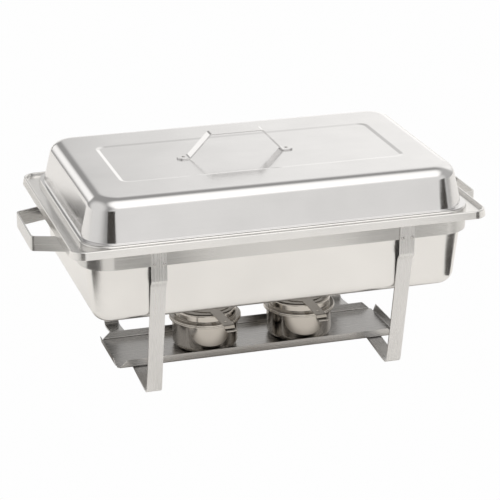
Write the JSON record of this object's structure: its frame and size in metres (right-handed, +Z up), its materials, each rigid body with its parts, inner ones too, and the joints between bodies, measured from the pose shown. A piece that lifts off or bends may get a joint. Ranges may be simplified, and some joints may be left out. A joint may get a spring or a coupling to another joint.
{
  "type": "chafing dish food warmer",
  "caption": "Oblong buffet food warmer: pressed lid over a food pan in a water pan, on a riveted strap frame with burners on a loose tray.",
  "frame": {"origin": "bottom centre of the footprint, on the surface it stands on", "axes": "+X along the long side, +Y to the rear, +Z up; the damper levers point to -Y"},
  "size_m": [0.626, 0.34, 0.3146],
  "materials": {
    "lid_steel": "polished",
    "pan_steel": "satin",
    "frame_steel": "satin",
    "tray_steel": "satin",
    "burner_steel": "polished",
    "rivet_steel": "polished"
  },
  "bodies": {
    "frame": {"frame_ring": "frame_steel", "end_handle_left": "frame_steel", "end_handle_right": "frame_steel", "end_handle_rivets": "rivet_steel", "leg_strap_left": "frame_steel", "leg_strap_right": "frame_steel", "leg_rivets": "rivet_steel"},
    "water_pan": {"water_pan": "pan_steel"},
    "food_pan": {"food_pan": "pan_steel"},
    "lid": {"lid_shell": "lid_steel", "lid_handle": "lid_steel", "lid_handle_rivets": "rivet_steel"},
    "tray": {"burner_tray": "tray_steel"},
    "burner_left": {"burner_cup_left": "burner_steel"},
    "burner_right": {"burner_cup_right": "burner_steel"},
    "cap_left": {"burner_cap_left": "burner_steel", "damper_pivot_left": "rivet_steel"},
    "cap_right": {"burner_cap_right": "burner_steel", "damper_pivot_right": "rivet_steel"},
    "damper_left": {"damper_left": "burner_steel"},
    "damper_right": {"damper_right": "burner_steel"}
  },
  "joints": [
    {"name": "water_pan_lift", "type": "slide", "parent": "frame", "child": "water_pan", "axis": [0, 0, 1], "range_m": [0, 0.12]},
    {"name": "food_pan_lift", "type": "slide", "parent": "water_pan", "child": "food_pan", "axis": [0, 0, 1], "range_m": [0, 0.08]},
    {"name": "lid_lift", "type": "slide", "parent": "food_pan", "child": "lid", "axis": [0, 0, 1], "range_m": [0, 0.15]},
    {"name": "tray_slide", "type": "slide", "parent": "frame", "child": "tray", "axis": [1, 0, 0], "range_m": [0, 0.12]},
    {"name": "burner_left_lift", "type": "slide", "parent": "tray", "child": "burner_left", "axis": [0, 0, 1], "range_m": [0, 0.025]},
    {"name": "burner_right_lift", "type": "slide", "parent": "tray", "child": "burner_right", "axis": [0, 0, 1], "range_m": [0, 0.025]},
    {"name": "cap_left_lift", "type": "slide", "parent": "burner_left", "child": "cap_left", "axis": [0, 0, 1], "range_m": [0, 0.01]},
    {"name": "cap_right_lift", "type": "slide", "parent": "burner_right", "child": "cap_right", "axis": [0, 0, 1], "range_m": [0, 0.01]},
    {"name": "damper_left_swing", "type": "hinge", "parent": "cap_left", "child": "damper_left", "pos_m": [-0.064, 0.037, 0.0675], "axis": [0, 0, -1], "range_deg": [0, 95]},
    {"name": "damper_right_swing", "type": "hinge", "parent": "cap_right", "child": "damper_right", "pos_m": [0.0735, 0.037, 0.0675], "axis": [0, 0, 1], "range_deg": [0, 95]}
  ]
}
